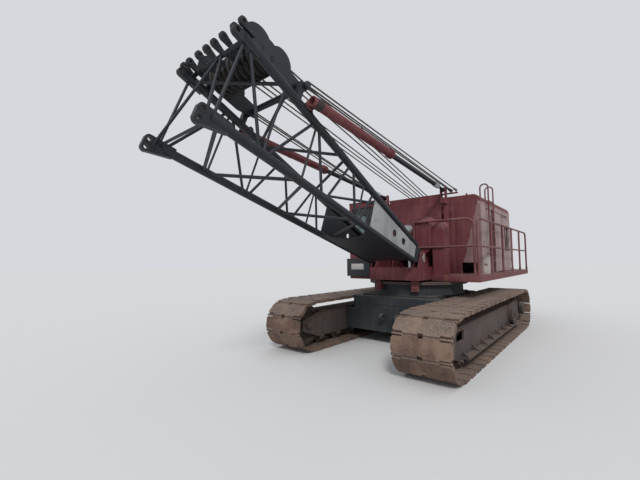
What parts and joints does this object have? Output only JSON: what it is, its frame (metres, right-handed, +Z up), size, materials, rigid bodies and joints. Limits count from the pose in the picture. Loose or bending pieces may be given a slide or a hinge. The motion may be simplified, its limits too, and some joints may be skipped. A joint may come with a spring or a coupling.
{
  "type": "crawler crane",
  "caption": "Lattice-boom crawler crane: tracks, swinging deck with house, cab, let-down gantry, hoist drum and a raised boom butt with stops and bridle.",
  "frame": {"origin": "centre of the bounding box's bottom face, on the ground between the tracks", "axes": "+X forward along the boom, +Y to the machine's left, +Z up"},
  "size_m": [9.9897, 3.33, 4.0795],
  "materials": {
    "house_paint": "maroon paint, faded and chalky, rubbed pale on edges",
    "boom_paint": "black-blue paint, semi-gloss with dust",
    "frame_paint": "black paint under dust and grease",
    "shoe_steel": "cast steel, brown rust, worn bright on the lugs",
    "wheel_steel": "cast steel with grease and dust",
    "bare_steel": "dull bare steel",
    "wire_rope": "greased steel wire rope",
    "grey_paint": "light grey paint, scuffed",
    "cab_trim": "black vinyl and plastic",
    "window_glass": "clear, dusty"
  },
  "bodies": {
    "undercarriage": {"carbody": "frame_paint", "roller_path": "frame_paint", "crawler_frame_left": "frame_paint", "crawler_frame_right": "frame_paint", "track_left": "shoe_steel", "track_right": "shoe_steel", "idlers": "wheel_steel", "drive_tumblers": "wheel_steel", "track_rollers": "wheel_steel"},
    "upperworks": {"rotating_bed": "house_paint", "swing_rollers": "wheel_steel", "hook_rollers": "house_paint", "deck_left": "house_paint", "deck_right": "house_paint", "handrail_left": "house_paint", "handrail_right": "house_paint", "house_front_wall": "house_paint", "house_left_wall": "house_paint", "house_right_wall": "house_paint", "house_rear_wall": "house_paint", "house_roof": "house_paint", "cab_shell": "house_paint", "cab_glass": "window_glass", "operator_seat": "cab_trim", "control_levers": "cab_trim", "plate_box": "frame_paint", "engine": "frame_paint", "counterweight": "house_paint", "drum_frames": "house_paint", "drum_guards": "house_paint", "gantry": "house_paint", "gantry_sheaves": "wheel_steel", "lamp_post": "grey_paint", "ladder": "house_paint", "side_locker": "grey_paint", "hoist_ropes": "wire_rope"},
    "hoist_drum": {"hoist_drum": "wheel_steel"},
    "cab_door": {"cab_door": "house_paint"},
    "house_door": {"house_door": "house_paint"},
    "boom": {"boom_side_left": "boom_paint", "boom_side_right": "boom_paint", "boom_top_lacing": "boom_paint", "boom_belly_lacing": "boom_paint", "boom_belly_plate": "boom_paint", "boom_foot_pins": "bare_steel", "boom_bridle": "boom_paint"},
    "bridle_sheaves": {"bridle_sheaves": "wheel_steel"},
    "stop_tubes": {"stop_tubes": "house_paint"},
    "stop_rods": {"stop_rods": "boom_paint"}
  },
  "joints": [
    {"name": "swing", "type": "hinge", "parent": "undercarriage", "child": "upperworks", "pos_m": [-0.49493, 0, 1.31], "axis": [0, 0, 1], "continuous": true},
    {"name": "luff", "type": "hinge", "parent": "upperworks", "child": "boom", "pos_m": [0.35507, 0, 1.64], "axis": [0, -1, 0], "range_deg": [-21, 58.6], "deforming": ["hoist_ropes"]},
    {"name": "bridle_spin", "type": "hinge", "parent": "boom", "child": "bridle_sheaves", "pos_m": [4.08657, 0, 3.82744], "axis": [0, 1, 0], "continuous": true},
    {"name": "stop_tilt", "type": "hinge", "parent": "boom", "child": "stop_tubes", "pos_m": [3.57877, 0, 3.39451], "axis": [0, -1, 0], "range_deg": [-2.5, 1]},
    {"name": "stop_slide", "type": "slide", "parent": "stop_tubes", "child": "stop_rods", "axis": [0.9958, 0, 0.0913], "range_m": [-0.56, 1.53]},
    {"name": "drum_spin", "type": "hinge", "parent": "upperworks", "child": "hoist_drum", "pos_m": [-0.75493, 0, 1.95], "axis": [0, 1, 0], "continuous": true},
    {"name": "cab_door", "type": "hinge", "parent": "upperworks", "child": "cab_door", "pos_m": [-0.77493, -1.421, 2.11], "axis": [0, 0, -1], "range_deg": [0, 110]},
    {"name": "house_door", "type": "slide", "parent": "upperworks", "child": "house_door", "axis": [-1, 0, 0], "range_m": [0, 0.74]}
  ],
  "couplings": [
    {"joint": "stop_tilt", "follows": "luff", "ratio": -0.0378},
    {"joint": "stop_slide", "follows": "luff", "m_per_rad": 1.4789}
  ]
}
